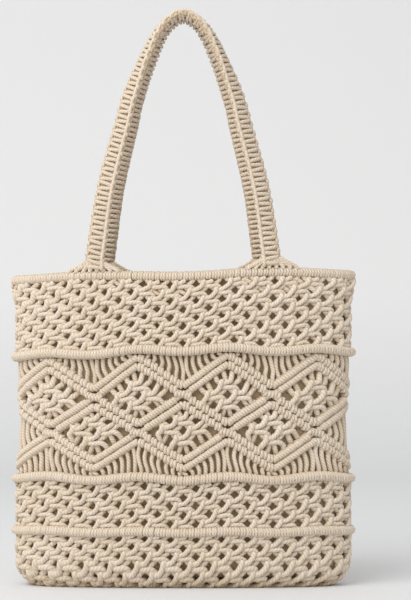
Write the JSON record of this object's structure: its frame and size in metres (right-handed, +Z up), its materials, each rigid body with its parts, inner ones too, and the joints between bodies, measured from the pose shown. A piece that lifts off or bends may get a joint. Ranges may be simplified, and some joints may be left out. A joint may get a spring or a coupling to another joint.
{
  "type": "macrame tote bag",
  "caption": "Knotted cotton tote bag with open net bands, a diamond lattice panel, hitched rows, a rounded base and braided handles.",
  "frame": {"origin": "on the ground under the middle of the bag", "axes": "+Z up to the handles, -Y out of the front, +X to the right as seen from the front"},
  "size_m": [0.3516, 0.0934, 0.584],
  "materials": {
    "cotton_cord": "soft twisted cotton cord in natural cream, matt, slightly fuzzy",
    "lining_cloth": "plain woven cotton in tan brown, matt"
  },
  "bodies": {
    "root": {"rim_roll": "cotton_cord", "upper_net": "cotton_cord", "upper_hitch_row": "cotton_cord", "diamond_panel": "cotton_cord", "middle_hitch_row": "cotton_cord", "middle_net": "cotton_cord", "lower_hitch_row": "cotton_cord", "base_net": "cotton_cord", "lining": "lining_cloth", "handle_front": "cotton_cord", "handle_root_front_left": "cotton_cord", "handle_root_front_right": "cotton_cord", "handle_back": "cotton_cord", "handle_root_back_left": "cotton_cord", "handle_root_back_right": "cotton_cord"}
  },
  "joints": []
}
